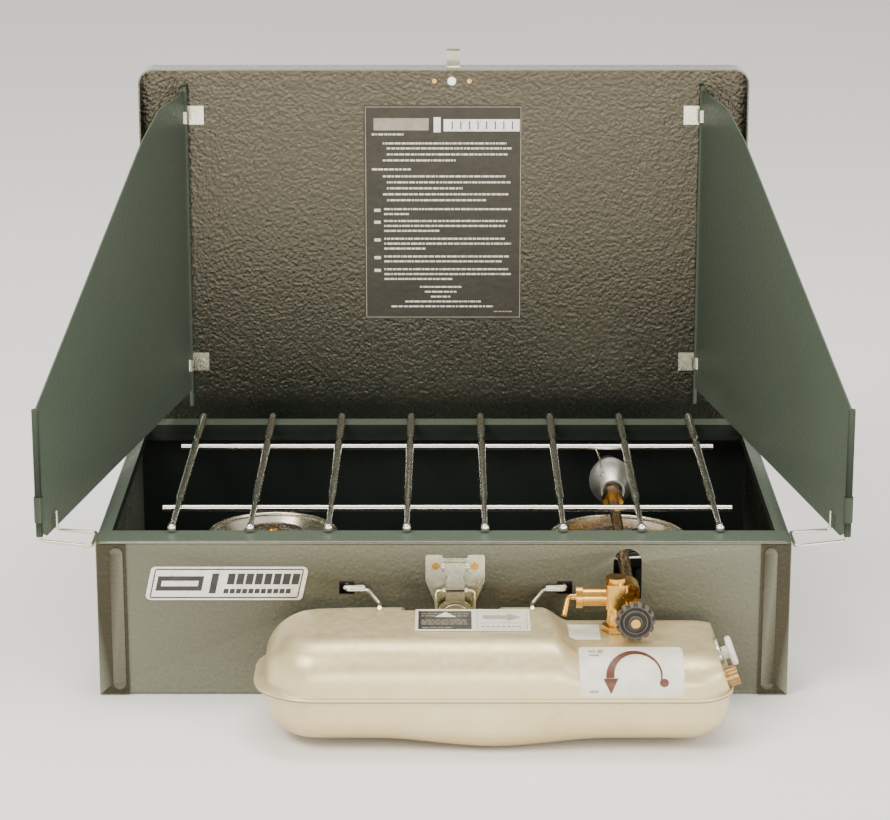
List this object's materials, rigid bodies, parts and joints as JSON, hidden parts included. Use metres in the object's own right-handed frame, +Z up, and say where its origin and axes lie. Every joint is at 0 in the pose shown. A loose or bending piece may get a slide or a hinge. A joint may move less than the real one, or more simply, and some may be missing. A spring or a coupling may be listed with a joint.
{
  "type": "two burner camp stove",
  "caption": "Suitcase camp stove standing open: raised lid, wind baffles, wire grate over burner bowls, and a liquid-fuel tank with pump and valve hung on the front.",
  "frame": {"origin": "middle of the case's flat base, on the surface it stands on", "axes": "+X to the user's right along the case, +Y to the back, +Z up"},
  "size_m": [0.5236, 0.4662, 0.3754],
  "materials": {
    "green_enamel": "hammered enamel, semi-gloss",
    "plated_steel": "zinc plated, bright",
    "bright_steel": "nickel plated, polished",
    "grey_iron": "sand cast, heat stained",
    "brass": "machined, bright",
    "tank_paint": "champagne metallic lacquer, satin",
    "black_plastic": "moulded, matte",
    "white_plastic": "moulded, glossy",
    "badge": "satin, printed bars",
    "decal": "printed film",
    "pump_leather": "oiled",
    "gasket_rubber": "matte"
  },
  "bodies": {
    "case": {"case_wrap": "green_enamel", "end_panel_left": "green_enamel", "end_panel_right": "green_enamel", "nameplate": "badge", "latch_base": "plated_steel", "latch_rivets": "plated_steel", "latch_pin": "plated_steel", "case_hinges": "green_enamel", "hinge_pins": "plated_steel", "hinge_rivets": "plated_steel", "main_bowl": "bright_steel", "aux_bowl": "bright_steel", "burner_rings": "bright_steel", "burner_caps": "bright_steel", "burner_screws": "brass", "burner_cups": "grey_iron", "crossover_tube": "grey_iron", "mixing_tube": "grey_iron", "mixing_bell": "plated_steel", "aux_valve_nut": "brass"},
    "latch_lever": {"latch_lever": "plated_steel"},
    "latch_bail": {"latch_bail": "plated_steel"},
    "aux_valve": {"aux_valve_lever": "plated_steel"},
    "lid": {"lid_shell": "green_enamel", "lid_hinge_straps": "green_enamel", "lid_catch": "plated_steel", "lid_rivets": "brass", "lid_decal": "decal", "baffle_clips": "plated_steel", "clip_rivets": "plated_steel"},
    "baffle_left": {"baffle_left": "green_enamel", "baffle_rod_left": "plated_steel", "baffle_hem_left": "plated_steel"},
    "baffle_right": {"baffle_right": "green_enamel", "baffle_rod_right": "plated_steel", "baffle_hem_right": "plated_steel"},
    "stay_left": {"stay_left": "plated_steel"},
    "stay_right": {"stay_right": "plated_steel"},
    "grate": {"grate_bars": "bright_steel", "grate_cross_rods": "bright_steel"},
    "tank": {"tank_upper_shell": "tank_paint", "tank_lower_shell": "tank_paint", "tank_hangers": "plated_steel", "valve_body": "brass", "generator_tube": "brass", "generator_nut": "brass", "pickup_tube": "brass", "pump_barrel": "brass", "pump_cap": "plated_steel", "filler_neck": "brass", "tank_top_label": "decal", "tank_front_label": "decal"},
    "lighting_lever": {"lighting_lever": "brass"},
    "control_knob": {"control_knob": "black_plastic", "control_stem": "brass"},
    "pump_plunger": {"pump_cup": "pump_leather"},
    "pump_handle": {"pump_rod": "plated_steel", "pump_knob": "white_plastic"},
    "filler_cap": {"filler_cap": "brass", "filler_gasket": "gasket_rubber"}
  },
  "joints": [
    {"name": "lid_hinge", "type": "hinge", "parent": "case", "child": "lid", "pos_m": [0, 0.149, 0.067], "axis": [1, 0, 0], "range_deg": [0, 2]},
    {"name": "baffle_left_fold", "type": "hinge", "parent": "lid", "child": "baffle_left", "pos_m": [-0.192, 0.2015, 0.22], "axis": [0, 0, 1], "range_deg": [0, 100.27]},
    {"name": "baffle_right_fold", "type": "hinge", "parent": "lid", "child": "baffle_right", "pos_m": [0.192, 0.207, 0.22], "axis": [0, 0, 1], "range_deg": [-96, 0]},
    {"name": "stay_left_fold", "type": "hinge", "parent": "baffle_left", "child": "stay_left", "pos_m": [-0.2588, -0.167, 0.13], "axis": [0, 0, 1], "range_deg": [-252, 0]},
    {"name": "stay_right_fold", "type": "hinge", "parent": "baffle_right", "child": "stay_right", "pos_m": [0.2588, -0.167, 0.13], "axis": [0, 0, 1], "range_deg": [0, 252]},
    {"name": "grate_lift", "type": "slide", "parent": "case", "child": "grate", "axis": [0, 0, 1], "range_m": [0, 0.1]},
    {"name": "tank_unhook", "type": "slide", "parent": "case", "child": "tank", "axis": [0, -1, 0], "range_m": [0, 0.26]},
    {"name": "control_knob_turn", "type": "hinge", "parent": "tank", "child": "control_knob", "pos_m": [0.1208, -0.213, 0.0756], "axis": [0, -1, 0], "range_deg": [0, 540]},
    {"name": "lighting_lever_turn", "type": "hinge", "parent": "tank", "child": "lighting_lever", "pos_m": [0.086, -0.1925, 0.0845], "axis": [-1, 0, 0], "range_deg": [0, 95]},
    {"name": "pump_stroke", "type": "slide", "parent": "tank", "child": "pump_plunger", "axis": [0.9397, 0, 0.342], "range_m": [0, 0.047]},
    {"name": "pump_handle_turn", "type": "hinge", "parent": "pump_plunger", "child": "pump_handle", "pos_m": [0.175, -0.205, 0.0502], "axis": [0.9397, 0, 0.342], "range_deg": [0, 360]},
    {"name": "filler_cap_turn", "type": "hinge", "parent": "tank", "child": "filler_cap", "pos_m": [0.1773, -0.229, 0.0436], "axis": [0.9397, 0, 0.342], "range_deg": [0, 720]},
    {"name": "aux_valve_turn", "type": "hinge", "parent": "case", "child": "aux_valve", "pos_m": [-0.226, 0, 0.052], "axis": [-1, 0, 0], "range_deg": [0, 90]},
    {"name": "latch_lever_swing", "type": "hinge", "parent": "case", "child": "latch_lever", "pos_m": [0.0076, -0.15, 0.09], "axis": [-1, 0, 0], "range_deg": [0, 85]},
    {"name": "latch_bail_swing", "type": "hinge", "parent": "latch_lever", "child": "latch_bail", "pos_m": [0.0076, -0.1524, 0.0745], "axis": [-1, 0, 0], "range_deg": [0, 80]}
  ],
  "couplings": [
    {"joint": "stay_left_fold", "follows": "baffle_left_fold", "ratio": -2.5},
    {"joint": "stay_right_fold", "follows": "baffle_right_fold", "ratio": -2.5}
  ]
}
